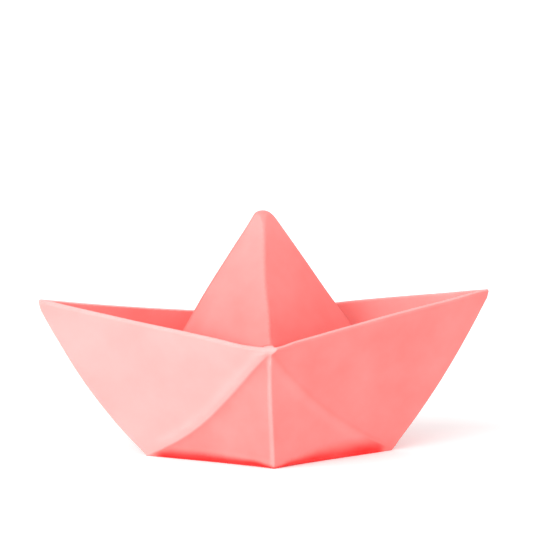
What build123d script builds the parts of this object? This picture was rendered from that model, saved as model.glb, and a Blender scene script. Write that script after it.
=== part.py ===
"""A one-piece moulded rubber toy boat in the form of a folded paper boat.

The frame: +X runs from the bow to the stern, +Y to the far side and +Z up.
The origin is on the floor, below the middle of the hull's length. All sizes are in millimetres.
"""

from build123d import *

import math
import os
from dataclasses import dataclass

# The hull's corners, where its fold lines would meet if they were sharp
hull_length = 162.8
hull_beam = 78.8
tip_height = 57.5
rim_height = 44.6
base_length = 89.2
base_beam = 52.8
base_shift = 0.8

# How far each rounded panel swells out of the flat, and each flap is dished into it
bow_panel_crown = 1.84
stern_panel_crown = 0.92
bow_flap_dish = 0.6
stern_flap_dish = 0.36

# How far the middle of each rim stands above the straight line, and how the rims meet amidships
bow_rim_rise = -1.3
stern_rim_rise = 0.9
rim_valley_radius = 30.0

# The sail, a four-sided pyramid whose height is to where its ridges would meet
sail_height = 91.7
sail_rake = 1.5
sail_length_at_rim = 61.8
sail_root_overlap = 0.6
sail_ridge_radius = 1.5
sail_tip_radius = 4.7
sail_tip_slope = 31.0
sail_shoulder_slope = 45.0

# The walls, the soft edges and the relief under the bottom edges
wall = 2.8
edge_radius = 0.8
well_lowest = 8.0
relief_height = 1.1
relief_length = 34.0
relief_inset = 12.0
relief_corner_gap = 2.0

# How far a cutter reaches past the surface that it cuts through
overrun = 8.0

NEAR = -1
FAR = 1
full_turn = 360


@dataclass(frozen=True)
class End:
    """One end of the boat: where it lies along X, and how its panels, flaps and rims curve."""

    direction: int
    panel_crown: float
    flap_dish: float
    rim_rise: float

    @property
    def tip(self):
        """The corner at the top, where the two rims meet."""
        return Vector(self.direction * hull_length / 2, 0, tip_height)

    @property
    def foot(self):
        """The corner of the base."""
        return Vector(base_shift + self.direction * base_length / 2, 0, 0)


BOW = End(
    direction=-1,
    panel_crown=bow_panel_crown,
    flap_dish=bow_flap_dish,
    rim_rise=bow_rim_rise,
)
STERN = End(
    direction=1,
    panel_crown=stern_panel_crown,
    flap_dish=stern_flap_dish,
    rim_rise=stern_rim_rise,
)


def rim_corner(side):
    """The corner of the rim amidships."""
    return Vector(0, side * hull_beam / 2, rim_height)


def base_corner(side):
    """The corner of the base amidships."""
    return Vector(base_shift, side * base_beam / 2, 0)


def outward(a, b, c, side):
    """The unit normal of the triangle abc that points to the given side of the boat."""
    normal = (b - a).cross(c - a).normalized()
    return normal if normal.Y * side > 0 else -normal


def arched_strip(line_start, line_end, point, rise, out, inset=0.0):
    """A cylinder along a fold line that swells by rise, towards out, between the line and point."""
    along = (line_end - line_start).normalized()
    across = point - line_start
    across = across - along * across.dot(along)
    radius = (across.length**2 / 4 + rise**2) / (2 * rise)
    middle = (line_start + line_end + across) * 0.5 + out * (rise - radius)
    base = Plane(middle - along * hull_length, x_dir=-out, z_dir=along)
    return Solid.make_cylinder(radius - inset, 2 * hull_length, base)


def panel_form(end, side, inset=0.0):
    """The cylinder that a large panel is a strip of, which lies along the panel's diagonal fold."""
    out = outward(end.tip, rim_corner(side), end.foot, side)
    return arched_strip(end.foot, rim_corner(side), end.tip, end.panel_crown, out, inset)


def flap_hollow(end, side):
    """The cylinder that dishes a triangular flap, which lies along the ridge amidships."""
    out = outward(rim_corner(side), base_corner(side), end.foot, side)
    return arched_strip(base_corner(side), rim_corner(side), end.foot, end.flap_dish, -out)


def block(low, high):
    """A plain block over the whole of the hull's plan and a little more, between two heights."""
    length, width = hull_length + 2 * overrun, hull_beam + 2 * overrun
    return Solid.make_box(length, width, high - low, Plane((-length / 2, -width / 2, low)))


def rim_line(end):
    """The rim seen from the side, from past its tip to amidships."""
    tip, low = end.tip, Vector(0, 0, rim_height)
    arc = Edge.make_three_point_arc(tip, (tip + low) * 0.5 + Vector(0, 0, end.rim_rise), low)
    turn = math.degrees(overrun / arc.radius)
    spoke = tip - arc.arc_center
    ends = [arc.arc_center + spoke.rotate(Axis.Y, angle) for angle in (turn, -turn)]
    return Edge.make_three_point_arc(max(ends, key=lambda point: abs(point.X)), tip, low)


def profile():
    """The hull's side view as a bar across the whole beam, its top following the rims."""
    bow_line, stern_line = rim_line(BOW), rim_line(STERN)
    bow_end, low, stern_end = bow_line @ 0, bow_line @ 1, stern_line @ 0
    under = Wire.make_polygon([stern_end, Vector(stern_end.X), Vector(bow_end.X), bow_end], close=False)
    side_view = Face(Wire([bow_line, stern_line] + under.edges()))
    bar = extrude(side_view, hull_beam, dir=Vector(0, 1, 0), both=True).solid()
    valley = min(bar.edges(), key=lambda edge: (edge.center() - low).length)
    return bar.fillet(rim_valley_radius, [valley])


def panels():
    """The body inside the four large panels, with its top filled in and its folds rounded."""
    body = profile()
    for end in (BOW, STERN):
        for side in (NEAR, FAR):
            body = body & panel_form(end, side)
    body = body.solid()
    return body.fillet(edge_radius, body.edges().filter_by(Plane.XY, reverse=True))


def flaps():
    """The body inside the four triangular flaps, with its two ridges rounded."""
    body = block(0, rim_height - edge_radius)
    for end in (BOW, STERN):
        for side in (NEAR, FAR):
            body = body - flap_hollow(end, side)
    body = body.solid()
    uprights = body.edges().filter_by(Plane.XY, reverse=True).sort_by(Axis.Y)
    return body.fillet(edge_radius, [uprights[0], uprights[-1]])


def base_relief(end, side):
    """A round cutter that arches a bottom edge off the floor beside the ridge and runs out under the base."""
    corner, foot = base_corner(side), end.foot
    along = (foot - corner).normalized()
    inwards = Vector(-along.Y, along.X, 0)
    inwards = inwards if inwards.Y * side < 0 else -inwards
    radius = (relief_length**2 / 4 + relief_height**2) / (2 * relief_height)
    crown = corner + along * (relief_corner_gap + relief_length / 2) + Vector(0, 0, relief_height)
    downhill = (inwards * relief_inset - Vector(0, 0, relief_height)).normalized()
    upright = along.cross(downhill)
    upright = upright if upright.Z > 0 else -upright
    start = Plane(origin=crown - upright * radius - downhill * overrun, x_dir=along, z_dir=downhill)
    return Solid.make_cylinder(radius, relief_inset + 2 * overrun, start)


def inner_corner_reach():
    """How far from the middle the inner faces of the walls meet amidships, at the rim's height."""
    normals = [outward(end.tip, rim_corner(FAR), end.foot, FAR) for end in (BOW, STERN)]
    planes = [Plane(origin=rim_corner(FAR) - normal * wall, z_dir=normal) for normal in normals]
    line = planes[0].intersect(planes[1])
    return line.intersect(Plane.XY.offset(rim_height)).Y


def polyhedron(faces):
    """A solid with flat faces, each given by its corners."""
    return Solid(Shell([Face(Wire.make_polygon(corners)) for corners in faces]))


def sail():
    """The whole sail, down to below the bottom of the wells."""
    apex = Vector(-sail_rake, 0, sail_height)
    reach = inner_corner_reach() + sail_root_overlap
    at_rim = [
        Vector(base_shift - sail_length_at_rim / 2, 0, rim_height),
        Vector(-sail_rake, -reach, rim_height),
        Vector(base_shift + sail_length_at_rim / 2, 0, rim_height),
        Vector(-sail_rake, reach, rim_height),
    ]
    growth = (sail_height - well_lowest) / (sail_height - rim_height)
    low = [apex + (corner - apex) * growth for corner in at_rim]
    pyramid = polyhedron([low] + [[low[i - 1], low[i], apex] for i in range(len(low))])

    tip_centre = sail_height - sail_tip_radius / math.sin(math.radians(sail_tip_slope))
    blunt = pyramid.split(Plane.XY.offset(tip_centre + sail_tip_radius), keep=Keep.BOTTOM)
    ridges = blunt.edges().filter_by(Plane.XY, reverse=True)
    return blunt.fillet(sail_ridge_radius, ridges) & rounded_tip(tip_centre)


def rounded_tip(centre_height):
    """A round-nosed cone that trims the top of the sail and stays clear of its ridges lower down."""
    shoulder = math.radians(sail_shoulder_slope)
    centre = Vector(0, 0, centre_height)
    start = centre + Vector(math.cos(shoulder), 0, math.sin(shoulder)) * sail_tip_radius
    top = centre + Vector(0, 0, sail_tip_radius)
    skirt = Vector(start.X + start.Z / math.tan(shoulder), 0, 0)
    nose = Edge.make_tangent_arc(start, start - skirt, top)
    straights = [Edge.make_line(top, Vector()), Edge.make_line(Vector(), skirt), Edge.make_line(skirt, start)]
    outline = Wire([nose] + straights)
    return Solid.revolve(Face(outline), full_turn, Axis.Z).moved(Location((-sail_rake, 0, 0)))


def wells(mast):
    """The two hollows between the walls and the sail."""
    room = block(well_lowest, tip_height + overrun)
    for end in (BOW, STERN):
        for side in (NEAR, FAR):
            room = room & panel_form(end, side, inset=wall)
    return room - mast


def boat():
    """The whole toy: the relieved hull, its two wells cut around the sail, and the sail above the rim."""
    body = panels() + flaps()
    for end in (BOW, STERN):
        for side in (NEAR, FAR):
            body = body - base_relief(end, side)
    mast = sail()
    body = body - wells(mast)
    return body + mast.split(Plane.XY.offset(rim_height), keep=Keep.TOP)


os.makedirs("parts", exist_ok=True)
toy = boat()
toy.label = "boat"
export_step(toy, "parts/boat.step")
print("boat", toy.is_valid, round(toy.volume), toy.bounding_box().size)
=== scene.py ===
"""A soft rubber toy boat in the form of a folded paper boat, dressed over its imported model.

Everything is in metres in the model's own frame: +X runs from the bow to the stern, +Y to the far
side and +Z up. The panel in the 3D view's sidebar lists the steps that main() runs in order.
"""

import math
from dataclasses import dataclass

import bmesh
import bpy
import numpy as np
from mathutils import Matrix, Vector, noise


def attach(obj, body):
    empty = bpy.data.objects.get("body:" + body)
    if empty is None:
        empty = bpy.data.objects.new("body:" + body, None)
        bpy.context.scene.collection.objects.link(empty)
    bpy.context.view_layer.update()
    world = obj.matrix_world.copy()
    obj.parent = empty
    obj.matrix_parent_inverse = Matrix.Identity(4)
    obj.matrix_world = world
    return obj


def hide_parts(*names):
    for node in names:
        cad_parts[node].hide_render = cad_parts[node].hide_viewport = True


bl_info = {
    "name": "Rubber Paper Boat",
    "version": (1, 0, 0),
    "blender": (4, 5, 0),
    "location": "View3D > Sidebar > Toy Boat",
    "description": "Moulds the toy boat's soft skin, gives it its rubber and sets up the studio",
    "category": "Object",
}

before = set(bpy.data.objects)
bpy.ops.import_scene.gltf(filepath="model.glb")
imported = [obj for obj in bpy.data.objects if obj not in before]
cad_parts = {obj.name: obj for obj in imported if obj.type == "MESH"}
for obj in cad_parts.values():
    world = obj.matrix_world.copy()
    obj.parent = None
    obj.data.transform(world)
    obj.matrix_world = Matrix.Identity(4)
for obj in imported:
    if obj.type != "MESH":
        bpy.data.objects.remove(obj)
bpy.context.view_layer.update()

CAD_NODE = "boat"
BOW = "bow"
STERN = "stern"
MM = 0.001
X, Y, Z = range(3)


def ramp(value, start, end):
    """A smooth step from 0 at start to 1 at end."""
    share = np.clip((value - start) / (end - start), 0, 1)
    return share * share * (3 - 2 * share)


def fall(value, start, end):
    """A smooth step from 1 at start to 0 at end."""
    return 1 - ramp(value, start, end)


def hump(value, middle, width):
    """A bell of height 1 about middle."""
    return np.exp(-(((value - middle) / (width / 2)) ** 2))


def fade(start, end):
    """The range over which a share changes, given in millimetres and kept in metres."""
    return start * MM, end * MM


@dataclass(frozen=True)
class Patch:
    """A soft-edged patch of the boat, in millimetres: a bell along X, with fades across and up."""

    middle: float
    width: float
    rises: tuple
    side: tuple = None
    falls: tuple = None

    def share(self, spots):
        """1 in the patch, fading to 0 around it."""
        share = hump(spots.x, self.middle * MM, self.width * MM)
        share = share * ramp(spots.height, *fade(*self.rises))
        if self.side:
            share = share * ramp(spots.side, *fade(*self.side))
        if self.falls:
            share = share * fall(spots.height, *fade(*self.falls))
        return share


# Where each form of the skin lies
RIDGE_BELOW_RIM = Patch(middle=0, width=12, side=(20, 30), rises=(0, 32), falls=(42, 44.2))
RIM_CORNER = Patch(middle=0, width=16, side=(26, 34), rises=(42.3, 44.2), falls=(45, 49))
BOW_OF_CORNER = Patch(middle=-8.5, width=14, side=(26, 30), rises=(36, 43.5), falls=(46.5, 50))
STERN_OF_CORNER = Patch(middle=7, width=8, rises=(36, 44))
SAIL_RIDGE = Patch(middle=-1.5, width=1.8, rises=(45, 49), falls=(76, 83))
LOW_SAIL_RIDGE = Patch(middle=-1.5, width=12, side=(6, 16), rises=(42, 45))
LOW_SAIL_RIDGE_HEIGHT = 53 * MM
LOW_SAIL_RIDGE_REACH = 16 * MM
SAIL_SWELL_RISES = fade(46, 58)
SAIL_SWELL_FALLS = fade(74, 84)
SAIL_SWELL_FROM_RIDGE = fade(2, 9)
SAIL_HALF_LENGTH = 32 * MM
SAIL_TIP_RISES = fade(58, 84)
BOW_TIP_FROM = fade(71, 81)
STERN_TIP_FROM = fade(60, 80)
FOOT_FROM = fade(39.5, 44)
FOOT_HEIGHT = fade(0, 2.5)
DENT_FROM_CORNER = np.array((-1.2, -0.5, -3.2)) * MM
DENT_WIDTH = 3.6 * MM
TIP_SHORTENING = 0.5

# How the skin's parts are told apart: by how squarely they face out of the side, by their depth
# behind it and by their height
MERGE_WITHIN = 0.001 * MM
SOLE_HEIGHT = 0.1 * MM
SIDE_FACING = (0.55, 0.85)
EDGE_FACING = (0, 0.35)
EDGE_DEPTH = fade(1.5, 2.5)
INNER_FACING = (0.5, 0.8)
INNER_DEPTH = fade(5, 6)
WALL_DEPTH = fade(4.5, 6)
WALL_BELOW_RIM = fade(3, 16)
ENDS_MEET = fade(-0.3, 0.3)
UNDERSIDE_FACING = (0.3, 0.7)
UNDERSIDE_HEIGHT = fade(1.5, 2.5)

# The diagonal folds; a skew above 1 moves a fold's lowest point to the foot, below 1 to the rim
BOW_FOLD_SKEW = 1.5
STERN_FOLD_SKEW = 0.85
FOLD_FROM_CORNER = fade(1.5, 9)
FOLD_FROM_FOOT = (0.02, 0.14)
FOLD_FROM_SOLE = fade(0.5, 4)
ROLL_MIDDLE = -0.55
ROLL_FROM_CORNER = fade(1, 8)
ROLL_FROM_FOOT = (0.02, 0.2)
STRIP_EDGE = (0.5, 1.9)
DISH_EASE = 0.5
DISH_EASE_FROM_FOLD = fade(5, 24)
GROOVE_WIDTH = 1.6 * MM
GROOVE_FROM_CORNER = fade(3, 16)
GROOVE_LIP = 0.6
GROOVE_LIP_MIDDLE = 2.2 * MM
GROOVE_LIP_WIDTH = 3 * MM

# The near rim's lift and the unevenness of the faces
NEAR_LIFT_RISES = (0.12, 0.45)
NEAR_LIFT_FALLS = (0.6, 1)
WAVER_SCALE = 45
WAVER_SEED = 3
WAVER_FROM_SOLE = fade(0.2, 2)

# The painted light and shade, from 0 to 1: paler on rims, ridges, rolls and the bow's side, which
# faces the key light, darker on the flap, in the groove, the wells and on the stern's side;
# heights are shares of the boat's own height
SAIL_PAINTED_LIGHT = 0.235
SAIL_TOP_GAIN = 0.16
SAIL_TOP_FROM = 0.6
SAIL_STERN_LOSS = 0.035
SAIL_STERN_FROM = fade(-2, 0)
SAIL_STERN_HEIGHT = (0.52, 0.8)
BOW_WELL_PAINTED_LIGHT = 0.35
STERN_WELL_PAINTED_LIGHT = 0.42
BOW_RIM_PAINTED_LIGHT = 0.85
STERN_RIM_PAINTED_LIGHT = 0.6
RIM_FACING = (0.6, 0.9)
RIM_RISES = (0.44, 0.48)
RIM_FALLS = (0.7, 0.75)
BOW_SIDE_PAINTED_LIGHT = 0.66
ROLL_GAIN = 0.07
BOW_FLAP_LOSS = 0.29
BOW_FLAP_FROM_FOLD = fade(-0.2, 0.8)
STRIP_KEEPS = 0.55
STERN_SIDE_PAINTED_LIGHT = 0.35
GROOVE_LOSS = 0.04
GROOVE_LIP_GAIN = 0.05
GROOVE_PALE_MIDDLE = 2.5 * MM
GROOVE_PALE_WIDTH = 4 * MM
STERN_FLAP_FROM_FOLD = fade(-0.5, 1)

# The painted deep shade along the bottom edges and under the hull
SHADE_HEIGHT = 1.1 * MM
SHADE_RISES = fade(0, 8)
SHADE_FALLS = fade(40, 51)
SHADE_DEPTH = 0.97
SHADE_FROM_FOOT = fade(44, 50)
BOW_SHADE_REACH = 1.8 * MM
BOW_SHADE_GROWTH = 1.4 * MM
STERN_SHADE_REACH = 1.4 * MM
STERN_SHADE_GROWTH = 5.5 * MM
SHADE_GROWS = fade(0, 30)
SHADED_FACING = (0.75, 0.95)
SHADED_HEIGHT = fade(1.5, 3)

# The rubber's texture
CLOUD_SCALE, CLOUD_DETAIL = 55, 4
CLOUD_RANGE = (0.3, 0.7)
PORE_SCALE, PORE_DETAIL = 2200, 3
PORE_STRENGTH = 0.3
PORE_DEPTH = 0.05 * MM
SMOOTHER, ROUGHER = 0.08, 0.12
GLOW_COLOUR_REACH = (1.0, 0.3, 0.25)
GLOW_REACH = 3 * MM
SHEEN = 0.15
SHEEN_ROUGHNESS = 0.5
RELAX_FACTOR = 0.5

# The stage
FLOOR_HALF = 6.0
FLOOR_SEEN = 1.18
KEY_SPREAD, KEY_TOWARDS = 70, (1.0, 0.85, -0.45)
FILL_SPREAD, FILL_TOWARDS = 90, (-0.9, 0.8, -0.6)


def size(name, description, millimetres):
    """A length that a user may change, given in millimetres and kept in metres."""
    return bpy.props.FloatProperty(
        name=name, description=description, default=millimetres * MM, unit="LENGTH", precision=5
    )


def amount(name, description, default):
    """A share from 0 to 1 that a user may change."""
    return bpy.props.FloatProperty(
        name=name, description=description, default=default, min=0, max=1, subtype="FACTOR"
    )


def strength(name, description, default):
    """A light's strength that a user may change."""
    return bpy.props.FloatProperty(name=name, description=description, default=default, min=0)


def colour(name, description, default):
    """A colour that a user may change."""
    return bpy.props.FloatVectorProperty(
        name=name,
        description=description,
        subtype="COLOR",
        size=4,
        min=0,
        max=1,
        default=default,
    )


class BoatShape(bpy.types.PropertyGroup):
    """The sizes of the moulded skin's soft forms."""

    mesh_cell: size("Mesh cell", "Edge length of the skin's mesh while it is shaped", 0.42)
    edge_rounds: bpy.props.IntProperty(
        name="Edge rounding",
        description="How many times the skin is relaxed, which rounds its edges",
        default=5,
        min=0,
    )
    finished_triangles: bpy.props.IntProperty(
        name="Triangles",
        description="The most triangles that the finished skin keeps",
        default=190000,
        min=20000,
    )
    bow_fold_sag: size("Bow fold sag", "How far the bow's fold sags within the side", 4.1)
    stern_fold_sag: size("Stern fold sag", "How far the stern's fold sags within the side", 3.8)
    fold_roll: size("Fold roll", "How proud the roll along the bow's fold stands", 0.3)
    roll_width: size("Roll width", "Width of that roll", 4.0)
    flap_dish: size("Flap dish", "How deep the bow's triangular flap is dished", 1.3)
    dish_fall: size("Dish fall", "How far from the fold the dish has fallen by two thirds", 2.0)
    strip_width: size("Ridge strip", "Width of the proud strip beside the ridge", 1.3)
    corner_dent: size("Corner dent", "Depth of the small dent under the rim's corner", 1.1)
    tip_blunt: size("Tip blunting", "How far back from its point each tip is blunted", 1.1)
    stern_tip_lift: size("Stern tip lift", "How far the stern's tip is drawn up", 0.6)
    near_rim_lift: size("Near rim lift", "How far the bow's near rim stands up midway", 0.7)
    near_rim_dip: size("Near rim dip", "How far that rim dips beside its corner", 0.6)
    far_rim_lift: size("Far rim lift", "How far the bow's far rim stands up midway", 0.3)
    corner_shift: size("Corner shift", "How far the rim's corner lies to the stern", 0.7)
    corner_lift: size("Corner lift", "How far the stern's rim stands up beside the corner", 0.2)
    foot_round: size("Foot rounding", "How far each end's foot is drawn in at the floor", 0.5)
    bow_tip_reach: size("Bow tip reach", "How far the bow's tip is drawn out", 0.7)
    sail_ridge_shift: size("Sail ridge shift", "How far its ridges lie to the stern low down", 0.9)
    sail_swell: size("Sail swell", "How far the sail's bow faces swell out midway", 0.25)
    sail_ridge: size("Sail ridge", "How far the sail's side ridges are drawn out", 0.45)
    sail_tip_shift: size("Sail tip shift", "How far the sail's tip lies to the stern", 0.6)
    ridge_lean: size("Ridge lean", "How far the ridge leans to the bow below the rim", 0.9)
    stern_groove: size("Stern groove", "Depth of the fine groove along the stern's fold", 0.14)
    sole_tuck: size("Sole tuck", "How far in from its edge the sole meets the floor", 1.0)
    hand_waver: size("Waver", "How far the rubber's faces waver from true", 0.12)


class RubberFinish(bpy.types.PropertyGroup):
    """The colours, with those of the painted light and shade, and the surface of the rubber."""

    # Painted shade: the deep red stands for the shade along the bottom edges and under the hull
    painted_shade_colour: colour("Deep", "Colour in the shade of the bottom edge", (0.99, 0.005, 0.004, 1))
    body_colour: colour("Body", "Colour of the clean rubber", (0.99, 0.18, 0.165, 1))
    # Painted highlight: the palest colour, on the rims, the ridges and the bow's lit side
    painted_highlight_colour: colour("Bloom", "Colour where the pale bloom is thickest", (0.99, 0.6, 0.58, 1))
    # The painted light's level at which the body's own colour shows
    body_at: amount("Body at", "Thickness of the bloom where the body's colour shows", 0.25)
    mottle: amount("Mottle", "How unevenly the bloom lies", 0.05)
    roughness: amount("Roughness", "Mean roughness of the rubber", 0.5)
    glow: amount("Glow", "How much light passes under the rubber's surface", 0.2)


class StudioLook(bpy.types.PropertyGroup):
    """The lights and the floor."""

    key_strength: strength("Key", "Strength of the soft key light", 2.8)
    fill_strength: strength("Fill", "Strength of the weak light from the other side", 0.65)
    sky_strength: strength("Sky", "Strength of the light from all round", 0.7)
    floor_colour: colour("Floor", "Colour of the floor", (0.92, 0.92, 0.92, 1))


def unit(vector):
    """The vector at length one."""
    return vector / np.linalg.norm(vector)


def pointed(vector, axis, sign):
    """The vector at length one, turned round if need be to have the given sign along an axis."""
    return unit(vector) * np.sign(vector[axis]) * sign


def point_array(points, field):
    """One vector of each of a mesh's points as an array."""
    flat = np.empty(len(points) * 3)
    points.foreach_get(field, flat)
    return flat.reshape(-1, 3)


class Spots:
    """Where the skin's points lie, and which way the skin faces there."""

    def __init__(self, mesh):
        self.points = point_array(mesh.vertices, "co")
        self.normals = point_array(mesh.vertex_normals, "vector")
        self.x, self.y, self.height = self.points.T
        self.side = np.abs(self.y)
        self.top = self.height.max()
        self.facing_up = self.normals[:, Z]
        self.at_bow = self.x < 0
        self.is_near = self.y < 0

    def mirrored(self, vectors):
        """The vectors with those of the near side turned to the far side, or back again."""
        turned = vectors.copy()
        turned[:, Y] *= np.sign(self.y)
        return turned


class FoldMap:
    """Where the skin's points lie on one end of the hull's side, measured from its fold lines.

    Both sides are read as the far one, because they are mirror images. along runs from 0 at the
    rim's corner to 1 at the foot of the diagonal fold. past_fold is the distance beyond that fold,
    onto the triangular flap. past_ridge is the distance from the upright ridge towards this end.
    depth is the distance inwards from the side. rim_place runs from 0 at the rim's corner to 1 at
    the tip. inside_base and along_base are the distances in from the bottom edge, and along it
    from its corner. share is 1 on the outer skin of this end; the mask of the side's painted light
    and shade also covers its rounded upper edge.
    """

    def __init__(self, end, spots, sag, skew):
        cad = point_array(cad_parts[CAD_NODE].data.vertices, "co")
        sole = cad[cad[:, Z] < SOLE_HEIGHT]
        outermost = np.argmin if end == BOW else np.argmax
        tip, foot = cad[outermost(cad[:, X])], sole[outermost(sole[:, X])]
        rim_corner, base_corner = cad[cad[:, Y].argmax()], sole[sole[:, Y].argmax()]
        rim, fold, ridge = tip - rim_corner, foot - rim_corner, unit(base_corner - rim_corner)
        self.outwards = pointed(np.cross(rim, fold), Y, 1)
        down = pointed(np.cross(fold, self.outwards), Z, -1)

        points = spots.mirrored(spots.points)
        from_corner = points - rim_corner
        self.height = spots.height
        self.along = np.clip(from_corner @ unit(fold) / np.linalg.norm(fold), 0, 1)
        self.past_fold = from_corner @ down - sag * np.sin(np.pi * self.along**skew)
        self.past_ridge = from_corner @ unit(fold - ridge * (fold @ ridge))
        self.corner_distance = np.linalg.norm(from_corner, axis=1)
        self.dent_distance = np.linalg.norm(from_corner - DENT_FROM_CORNER, axis=1)
        self.depth = -(from_corner @ self.outwards)
        self.rim_place = np.clip(from_corner[:, X] / rim[X], 0, 1)
        self.below_rim = self.rim_place * rim[Z] - from_corner[:, Z]

        base_line = unit(foot - base_corner)
        inwards = pointed(np.array((-base_line[Y], base_line[X], 0)), Y, -1)
        from_base = points * (1, 1, 0) - base_corner
        self.inside_base, self.along_base = from_base @ inwards, from_base @ base_line

        self.facing = spots.mirrored(spots.normals) @ self.outwards
        this_end = ramp(self.past_ridge, *ENDS_MEET)
        edge = ramp(self.facing, *EDGE_FACING) * fall(self.depth, *EDGE_DEPTH)
        self.share = ramp(self.facing, *SIDE_FACING) * this_end
        # Where the side's painted light and shade lie: the outer skin and its rounded upper edge
        self.tinted = np.maximum(self.share, edge * this_end)

    def flap(self, reach):
        """How far the triangular flap has fallen from the fold, from 0 on the large panel to 1."""
        return 1 - np.exp(-np.maximum(self.past_fold, 0) / reach)

    def wall(self):
        """1 on the wall, and 0 on what lies further in."""
        return fall(self.depth, *WALL_DEPTH)

    def top_of_wall(self):
        """1 on the top of the wall, fading to 0 down the wall."""
        return self.wall() * fall(self.below_rim, *WALL_BELOW_RIM)

    def inner_face(self):
        """1 on the inner face of this end's wall."""
        inner = ramp(-self.facing, *INNER_FACING) * fall(self.depth, *INNER_DEPTH)
        return inner * (self.past_ridge > 0)

    def shade_line(self):
        """How high the painted shade of the relieved bottom edge reaches up the side."""
        reach = ramp(self.along_base, *SHADE_RISES) * fall(self.along_base, *SHADE_FALLS)
        return SHADE_HEIGHT * reach

    def away_from_ends(self):
        """1 along the fold and 0 where it runs out at the rim's corner, the foot and the sole."""
        from_corner = ramp(self.corner_distance, *FOLD_FROM_CORNER)
        from_foot = ramp(1 - self.along, *FOLD_FROM_FOOT)
        return from_corner * from_foot * ramp(self.height, *FOLD_FROM_SOLE)


def waver(points):
    """Slow unevenness from -1 to 1 over the points, the same on every run."""
    offset = Vector((WAVER_SEED, 0, 0))
    return np.array([noise.noise(Vector(point) * WAVER_SCALE + offset) for point in points])


def fold_push(bow, stern, roll, strip, shape):
    """The moves out of the side that give the folds their roll, dish and groove."""
    ease = 1 - DISH_EASE * ramp(bow.past_fold, *DISH_EASE_FROM_FOLD)
    dish = bow.flap(shape.dish_fall) * ease * (1 - strip) * bow.away_from_ends()
    proud = roll * ramp(bow.corner_distance, *ROLL_FROM_CORNER)
    bow_push = shape.fold_roll * proud - shape.flap_dish * dish

    lip = GROOVE_LIP * hump(stern.past_fold, GROOVE_LIP_MIDDLE, GROOVE_LIP_WIDTH)
    groove = hump(stern.past_fold, 0, GROOVE_WIDTH) - lip
    groove = groove * stern.away_from_ends() * ramp(stern.corner_distance, *GROOVE_FROM_CORNER)
    stern_push = -shape.stern_groove * groove
    bow_moves = np.outer(bow_push * bow.share, bow.outwards)
    return bow_moves + np.outer(stern_push * stern.share, stern.outwards)


def shift_hull(push, spots, bow, stern, shape):
    """Adds the moves of the hull's ridges, corners, rims, tips and feet to push."""
    end = np.sign(spots.x)
    push[:, X] -= shape.ridge_lean * RIDGE_BELOW_RIM.share(spots)
    push[:, X] += shape.corner_shift * RIM_CORNER.share(spots)
    push[:, Z] += shape.corner_lift * stern.wall() * STERN_OF_CORNER.share(spots)
    push[:, Z] -= shape.near_rim_dip * BOW_OF_CORNER.share(spots) * spots.is_near

    near = ramp(bow.rim_place, *NEAR_LIFT_RISES) * fall(bow.rim_place, *NEAR_LIFT_FALLS)
    far = np.sin(np.pi * bow.rim_place)
    lift = np.where(spots.is_near, shape.near_rim_lift * near, shape.far_rim_lift * far)
    push[:, Z] += lift * bow.top_of_wall()

    push[:, X] -= shape.bow_tip_reach * ramp(-spots.x, *BOW_TIP_FROM)
    push[:, Z] += shape.stern_tip_lift * ramp(spots.x, *STERN_TIP_FROM)
    push[:, X] -= TIP_SHORTENING * end * past_blunt_line(spots, shape.tip_blunt)
    foot = ramp(np.abs(spots.x), *FOOT_FROM) * fall(spots.height, *FOOT_HEIGHT)
    push[:, X] -= shape.foot_round * end * foot


def past_blunt_line(spots, reach):
    """How far the points of the two tips lie beyond the line where the tip starts to be blunt."""
    along = np.abs(spots.x)
    return np.maximum(along - (along.max() - reach), 0)


def shift_sail(push, spots, shape):
    """Adds the moves of the sail's ridges, faces and tip to push."""
    low = hump(spots.height, LOW_SAIL_RIDGE_HEIGHT, LOW_SAIL_RIDGE_REACH)
    push[:, X] += shape.sail_ridge_shift * LOW_SAIL_RIDGE.share(spots) * low
    push[:, Y] += shape.sail_ridge * np.sign(spots.y) * SAIL_RIDGE.share(spots)
    push[:, X] += shape.sail_tip_shift * ramp(spots.height, *SAIL_TIP_RISES)

    midway = ramp(spots.height, *SAIL_SWELL_RISES) * fall(spots.height, *SAIL_SWELL_FALLS)
    bow_faces = ramp(-spots.x, *SAIL_SWELL_FROM_RIDGE) * (np.abs(spots.x) < SAIL_HALF_LENGTH)
    push[:, X] -= shape.sail_swell * midway * bow_faces


def sculpt(skin, shape):
    """Moves the skin's faces into the forms of the moulding, and marks its painted light and
    shade.
    """
    mesh = skin.data
    spots = Spots(mesh)
    bow = FoldMap(BOW, spots, shape.bow_fold_sag, BOW_FOLD_SKEW)
    stern = FoldMap(STERN, spots, shape.stern_fold_sag, STERN_FOLD_SKEW)
    roll = hump(bow.past_fold, ROLL_MIDDLE * shape.roll_width, shape.roll_width)
    roll = roll * ramp(1 - bow.along, *ROLL_FROM_FOOT)
    strip = fall(bow.past_ridge, *(shape.strip_width * edge for edge in STRIP_EDGE))

    push = spots.mirrored(fold_push(bow, stern, roll, strip, shape))
    shift_hull(push, spots, bow, stern, shape)
    shift_sail(push, spots, shape)
    uneven = shape.hand_waver * waver(spots.points) * ramp(spots.height, *WAVER_FROM_SOLE)
    dent = shape.corner_dent * hump(bow.dent_distance, 0, DENT_WIDTH)
    push += spots.normals * (uneven - dent)[:, None]
    push[:, Z] -= tuck_share(spots, bow, stern, shape.sole_tuck) * spots.height
    mesh.vertices.foreach_set("co", (spots.points + push).ravel())

    mark_painted_light(mesh, spots, bow, stern, roll, strip)
    mesh.update()


def tuck_share(spots, bow, stern, tuck):
    """1 under the hull from just inside its bottom edge, where the sole comes to the floor."""
    inside = np.minimum(bow.inside_base, stern.inside_base)
    under = ramp(-spots.facing_up, *UNDERSIDE_FACING) * fall(spots.height, *UNDERSIDE_HEIGHT)
    return under * ramp(inside, 0, tuck)


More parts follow.
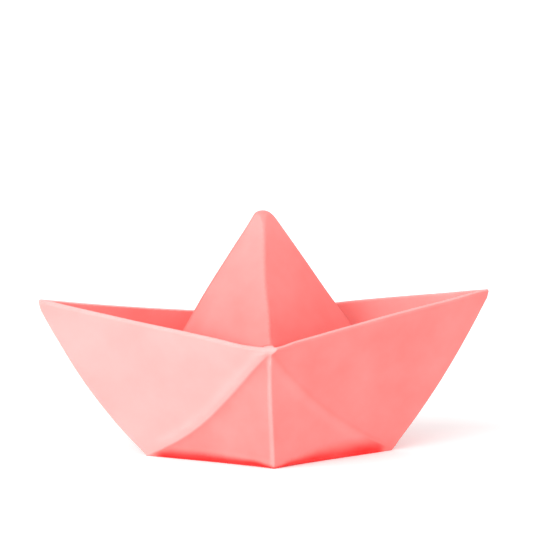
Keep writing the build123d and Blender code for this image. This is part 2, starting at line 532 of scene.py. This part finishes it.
def mark_painted_light(mesh, spots, bow, stern, roll, strip):
    """Keeps the painted light and shade: paler on what stands proud, darker in the hollows."""
    level = spots.height / spots.top
    # Painted light on the sides: the bow's side, turned to the key light, paler, with painted
    # highlights along the fold's roll and the ridge strip and painted shade on the flap; the
    # stern's side darker, with painted shade in its groove and a painted highlight on the groove's
    # lip
    on_flap = ramp(bow.past_fold, *BOW_FLAP_FROM_FOLD) * (1 - STRIP_KEEPS * strip)
    groove = GROOVE_LOSS * hump(stern.past_fold, 0, GROOVE_WIDTH)
    lip = GROOVE_LIP_GAIN * hump(stern.past_fold, GROOVE_PALE_MIDDLE, GROOVE_PALE_WIDTH)
    bow_side = BOW_SIDE_PAINTED_LIGHT + ROLL_GAIN * roll - BOW_FLAP_LOSS * on_flap
    stern_side = STERN_SIDE_PAINTED_LIGHT - groove + lip

    painted_light = inside_painted_light(spots, level, bow, stern) * (1 - bow.tinted - stern.tinted)
    painted_light += bow_side * bow.tinted + stern_side * stern.tinted
    # Painted highlight along the rims, paler at the bow than at the stern
    rim = ramp(spots.facing_up, *RIM_FACING) * ramp(level, *RIM_RISES) * fall(level, *RIM_FALLS)
    painted_light += rim * (np.where(spots.at_bow, BOW_RIM_PAINTED_LIGHT, STERN_RIM_PAINTED_LIGHT) - painted_light)
    # Painted shade low along the bottom edges
    painted_light *= 1 - SHADE_DEPTH * edge_shade(spots, bow, stern, on_flap)
    # Painted shade on the underside near the floor
    under = ramp(-spots.facing_up, *SHADED_FACING) * fall(spots.height, *SHADED_HEIGHT)
    painted_light *= 1 - under
    attribute = mesh.attributes.new("painted_light", "FLOAT", "POINT")
    attribute.data.foreach_set("value", np.clip(painted_light, 0, 1))


def inside_painted_light(spots, level, bow, stern):
    """Painted light on the sail and in the wells, the stern's well paler against the sail's
    shadow.
    """
    # Painted light paler high on the sail, painted shade low on its stern faces
    stern_faces = ramp(spots.x, *SAIL_STERN_FROM) * fall(level, *SAIL_STERN_HEIGHT)
    sail = SAIL_PAINTED_LIGHT + SAIL_TOP_GAIN * ramp(level, SAIL_TOP_FROM, 1)
    sail -= SAIL_STERN_LOSS * stern_faces
    in_wells = np.clip(bow.inner_face() + stern.inner_face(), 0, 1)
    wells = np.where(spots.at_bow, BOW_WELL_PAINTED_LIGHT, STERN_WELL_PAINTED_LIGHT)
    return sail + (wells - sail) * in_wells


def edge_shade(spots, bow, stern, on_bow_flap):
    """1 where painted shade lies along the bottom edges, fading to 0 up the side and at the feet.
    """
    on_stern_flap = ramp(stern.past_fold, *STERN_FLAP_FROM_FOLD)
    bow_growth = BOW_SHADE_GROWTH * ramp(bow.along_base, *SHADE_GROWS) * on_bow_flap
    stern_growth = STERN_SHADE_GROWTH * ramp(stern.along_base, *SHADE_GROWS) * on_stern_flap
    bow_shade = fall(spots.height - bow.shade_line(), 0, BOW_SHADE_REACH + bow_growth)
    stern_shade = fall(spots.height - stern.shade_line(), 0, STERN_SHADE_REACH + stern_growth)
    along_base = np.where(spots.at_bow, bow.along_base, stern.along_base)
    return np.where(spots.at_bow, bow_shade, stern_shade) * fall(along_base, *SHADE_FROM_FOOT)


def node_tree_of(material):
    """A material's empty node tree, ready to be filled."""
    material.use_nodes = True
    material.node_tree.nodes.clear()
    return material.node_tree


def noise_node(tree, place, scale, detail):
    """A noise over the object's own coordinates."""
    node = tree.nodes.new("ShaderNodeTexNoise")
    node.inputs["Scale"].default_value = scale
    node.inputs["Detail"].default_value = detail
    tree.links.new(place.outputs["Object"], node.inputs["Vector"])
    return node


def colours_by_painted_light(tree, clouds, finish):
    """The rubber's colour by its painted light and shade, which the clouds make uneven."""
    add, link = tree.nodes.new, tree.links.new
    painted_light = add("ShaderNodeAttribute")
    painted_light.attribute_name = "painted_light"
    uneven = add("ShaderNodeMapRange")
    uneven.inputs["From Min"].default_value, uneven.inputs["From Max"].default_value = CLOUD_RANGE
    uneven.inputs["To Min"].default_value = -finish.mottle
    uneven.inputs["To Max"].default_value = finish.mottle
    link(clouds.outputs["Fac"], uneven.inputs["Value"])
    lightness = add("ShaderNodeMath")
    lightness.operation = "ADD"
    lightness.use_clamp = True
    link(painted_light.outputs["Fac"], lightness.inputs[0])
    link(uneven.outputs["Result"], lightness.inputs[1])
    # From the painted shade's deep red at 0, through the body's own colour, to the palest painted
    # light at 1
    tint = add("ShaderNodeValToRGB")
    tint.color_ramp.elements[0].color = finish.painted_shade_colour
    tint.color_ramp.elements[1].color = finish.painted_highlight_colour
    tint.color_ramp.elements.new(finish.body_at).color = finish.body_colour
    link(lightness.outputs["Value"], tint.inputs["Fac"])
    return tint


def rubber_material(finish):
    """Matte moulded rubber: coral, with painted light on what stands proud, painted shade in the
    hollows, and fine pores.
    """
    material = bpy.data.materials.new("coral_rubber")
    tree = node_tree_of(material)
    add, link = tree.nodes.new, tree.links.new
    place = add("ShaderNodeTexCoord")
    clouds = noise_node(tree, place, CLOUD_SCALE, CLOUD_DETAIL)
    pores = noise_node(tree, place, PORE_SCALE, PORE_DETAIL)
    tint = colours_by_painted_light(tree, clouds, finish)

    rough = add("ShaderNodeMapRange")
    rough.inputs["To Min"].default_value = finish.roughness - SMOOTHER
    rough.inputs["To Max"].default_value = finish.roughness + ROUGHER
    link(pores.outputs["Fac"], rough.inputs["Value"])
    grain = add("ShaderNodeBump")
    grain.inputs["Strength"].default_value = PORE_STRENGTH
    grain.inputs["Distance"].default_value = PORE_DEPTH
    link(pores.outputs["Fac"], grain.inputs["Height"])
    body = add("ShaderNodeBsdfPrincipled")
    body.inputs["Subsurface Weight"].default_value = finish.glow
    body.inputs["Subsurface Radius"].default_value = GLOW_COLOUR_REACH
    body.inputs["Subsurface Scale"].default_value = GLOW_REACH
    body.inputs["Sheen Weight"].default_value = SHEEN
    body.inputs["Sheen Roughness"].default_value = SHEEN_ROUGHNESS
    link(tint.outputs["Color"], body.inputs["Base Color"])
    link(rough.outputs["Result"], body.inputs["Roughness"])
    link(grain.outputs["Normal"], body.inputs["Normal"])
    out = add("ShaderNodeOutputMaterial")
    link(body.outputs["BSDF"], out.inputs["Surface"])
    return material


def merged_copy(source, name):
    """A copy of a CAD node's mesh whose loose triangles are joined into one closed skin."""
    work = bmesh.new()
    work.from_mesh(source.data)
    bmesh.ops.remove_doubles(work, verts=work.verts, dist=MERGE_WITHIN)
    mesh = bpy.data.meshes.new(name)
    work.to_mesh(mesh)
    work.free()
    piece = bpy.data.objects.new(name, mesh)
    bpy.context.scene.collection.objects.link(piece)
    return piece


def bake_modifiers(piece):
    """Turns a piece's modifiers into its mesh."""
    view = bpy.context.evaluated_depsgraph_get()
    mesh = bpy.data.meshes.new_from_object(piece.evaluated_get(view))
    piece.modifiers.clear()
    piece.data = mesh


def relax(piece, rounds):
    """Rounds a piece's edges a little more with each round."""
    smooth = piece.modifiers.new("relax", "SMOOTH")
    smooth.factor = RELAX_FACTOR
    smooth.iterations = rounds


def thin_out(piece, most):
    """Leaves a four-sided mesh with at most that many triangles, the fewest where it is flat."""
    triangles = 2 * len(piece.data.polygons)
    thin = piece.modifiers.new("thin", "DECIMATE")
    thin.ratio = min(1, most / triangles)


def mould_skin(shape):
    """The boat's skin: an even mesh over the CAD form, softened, sculpted and softened again."""
    skin = merged_copy(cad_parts[CAD_NODE], "rubber_boat")
    even = skin.modifiers.new("even", "REMESH")
    even.mode = "VOXEL"
    even.voxel_size = shape.mesh_cell
    relax(skin, shape.edge_rounds)
    bake_modifiers(skin)
    sculpt(skin, shape)
    relax(skin, 1)
    thin_out(skin, shape.finished_triangles)
    bake_modifiers(skin)
    skin.data.polygons.foreach_set("use_smooth", [True] * len(skin.data.polygons))
    return skin


class TOYBOAT_OT_boat(bpy.types.Operator):
    """Moulds the boat's skin over its CAD form and gives it its rubber"""

    bl_idname = "toyboat.boat"
    bl_label = "Boat"

    def execute(self, context):
        scene = context.scene
        skin = mould_skin(scene.boat_shape)
        skin.data.materials.clear()
        skin.data.materials.append(rubber_material(scene.rubber_finish))
        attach(skin, "root")
        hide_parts(CAD_NODE)
        return {"FINISHED"}


def floor_material(look):
    """A plain floor that the camera sees as white, with the object's shadow kept."""
    material = bpy.data.materials.new("floor_white")
    tree = node_tree_of(material)
    add, link = tree.nodes.new, tree.links.new
    path = add("ShaderNodeLightPath")
    shade = add("ShaderNodeMix")
    shade.data_type = "RGBA"
    shade.inputs["A"].default_value = look.floor_colour
    shade.inputs["B"].default_value = (FLOOR_SEEN, FLOOR_SEEN, FLOOR_SEEN, 1)
    link(path.outputs["Is Camera Ray"], shade.inputs["Factor"])
    diffuse = add("ShaderNodeBsdfDiffuse")
    link(shade.outputs["Result"], diffuse.inputs["Color"])
    out = add("ShaderNodeOutputMaterial")
    link(diffuse.outputs["BSDF"], out.inputs["Surface"])
    return material


def make_floor(look):
    """The studio floor, large enough to fill every view."""
    turns = ((-1, -1), (1, -1), (1, 1), (-1, 1))
    corners = [(x * FLOOR_HALF, y * FLOOR_HALF, 0) for x, y in turns]
    mesh = bpy.data.meshes.new("studio_floor")
    mesh.from_pydata(corners, [], [(0, 1, 2, 3)])
    mesh.materials.append(floor_material(look))
    floor = bpy.data.objects.new("studio_floor", mesh)
    bpy.context.scene.collection.objects.link(floor)


def make_sky(look):
    """A plain white world, which the camera sees as white at any strength of its light."""
    world = bpy.data.worlds.new("studio_sky")
    world.use_nodes = True
    tree = world.node_tree
    tree.nodes.clear()
    add, link = tree.nodes.new, tree.links.new
    light = add("ShaderNodeBackground")
    light.inputs["Strength"].default_value = look.sky_strength
    seen = add("ShaderNodeBackground")
    seen.inputs["Strength"].default_value = 1.0
    for node in (light, seen):
        node.inputs["Color"].default_value = (1, 1, 1, 1)
    path = add("ShaderNodeLightPath")
    blend = add("ShaderNodeMixShader")
    link(path.outputs["Is Camera Ray"], blend.inputs[0])
    link(light.outputs["Background"], blend.inputs[1])
    link(seen.outputs["Background"], blend.inputs[2])
    out = add("ShaderNodeOutputWorld")
    link(blend.outputs["Shader"], out.inputs["Surface"])
    bpy.context.scene.world = world


def make_sun(name, power, spread, towards):
    """A soft light from far off, which shines along towards."""
    lamp = bpy.data.lights.new(name, "SUN")
    lamp.energy = power
    lamp.angle = math.radians(spread)
    sun = bpy.data.objects.new(name, lamp)
    sun.rotation_mode = "QUATERNION"
    sun.rotation_quaternion = Vector(towards).to_track_quat("-Z", "Y")
    bpy.context.scene.collection.objects.link(sun)


def turned(first, second, angle):
    """Two square directions, both turned by an angle from the first towards the second."""
    return (
        first * math.cos(angle) + second * math.sin(angle),
        second * math.cos(angle) - first * math.sin(angle),
    )


def make_camera():
    """The camera at the photograph's place, with its lens set for an image 533 pixels wide."""
    azimuth, elevation = math.radians(-3.718), math.radians(10.3366)
    pitch, roll = math.radians(1.8254), math.radians(-0.4505)
    target, distance = Vector((0.0003, 0, 0.035)), 1.0
    focal_pixels, image_pixels, sensor_width = 2819.12, 533, 36
    back = Vector((
        math.sin(azimuth) * math.cos(elevation),
        -math.cos(azimuth) * math.cos(elevation),
        math.sin(elevation),
    ))
    right = (-back).cross(Vector((0, 0, 1))).normalized()
    ahead, up = turned(-back, right.cross(-back), pitch)
    right, up = turned(right, up, roll)
    data = bpy.data.cameras.new("photo_camera")
    data.sensor_width = sensor_width
    data.lens = focal_pixels / image_pixels * sensor_width
    data.clip_start, data.clip_end = 0.05, 50
    camera = bpy.data.objects.new("photo_camera", data)
    turn = Matrix((right, up, -ahead)).transposed().to_4x4()
    camera.matrix_world = Matrix.Translation(target + back * distance) @ turn
    bpy.context.scene.collection.objects.link(camera)
    bpy.context.scene.camera = camera


class TOYBOAT_OT_stage(bpy.types.Operator):
    """Lays the floor, sets the lights and places the camera"""

    bl_idname = "toyboat.stage"
    bl_label = "Stage"

    def execute(self, context):
        look = context.scene.studio_look
        make_floor(look)
        make_sky(look)
        make_sun("key", look.key_strength, KEY_SPREAD, KEY_TOWARDS)
        make_sun("fill", look.fill_strength, FILL_SPREAD, FILL_TOWARDS)
        make_camera()
        context.scene.view_settings.view_transform = "Standard"
        return {"FINISHED"}


class TOYBOAT_PT_panel(bpy.types.Panel):
    """Lists the toy boat's steps and their sizes and colours"""

    bl_idname = "TOYBOAT_PT_panel"
    bl_label = "Toy Boat"
    bl_space_type = "VIEW_3D"
    bl_region_type = "UI"
    bl_category = "Toy Boat"

    def draw(self, context):
        layout = self.layout
        for group in GROUPS:
            values = getattr(context.scene, group)
            for name in values.bl_rna.properties.keys():
                if name not in ("rna_type", "name"):
                    layout.prop(values, name)
        for operator in OPERATORS:
            layout.operator(operator.bl_idname)


OPERATORS = (TOYBOAT_OT_boat, TOYBOAT_OT_stage)
GROUPS = {"boat_shape": BoatShape, "rubber_finish": RubberFinish, "studio_look": StudioLook}


def register():
    """Adds the settings, the operators and the panel."""
    for cls in (*GROUPS.values(), *OPERATORS, TOYBOAT_PT_panel):
        bpy.utils.register_class(cls)
    for name, group in GROUPS.items():
        setattr(bpy.types.Scene, name, bpy.props.PointerProperty(type=group))


def unregister():
    """Takes them away again."""
    for name in GROUPS:
        delattr(bpy.types.Scene, name)
    for cls in (TOYBOAT_PT_panel, *OPERATORS, *GROUPS.values()):
        bpy.utils.unregister_class(cls)


def main():
    """Runs every step in order."""
    register()
    bpy.ops.toyboat.boat()
    bpy.ops.toyboat.stage()


if __name__ == "__main__":
    main()
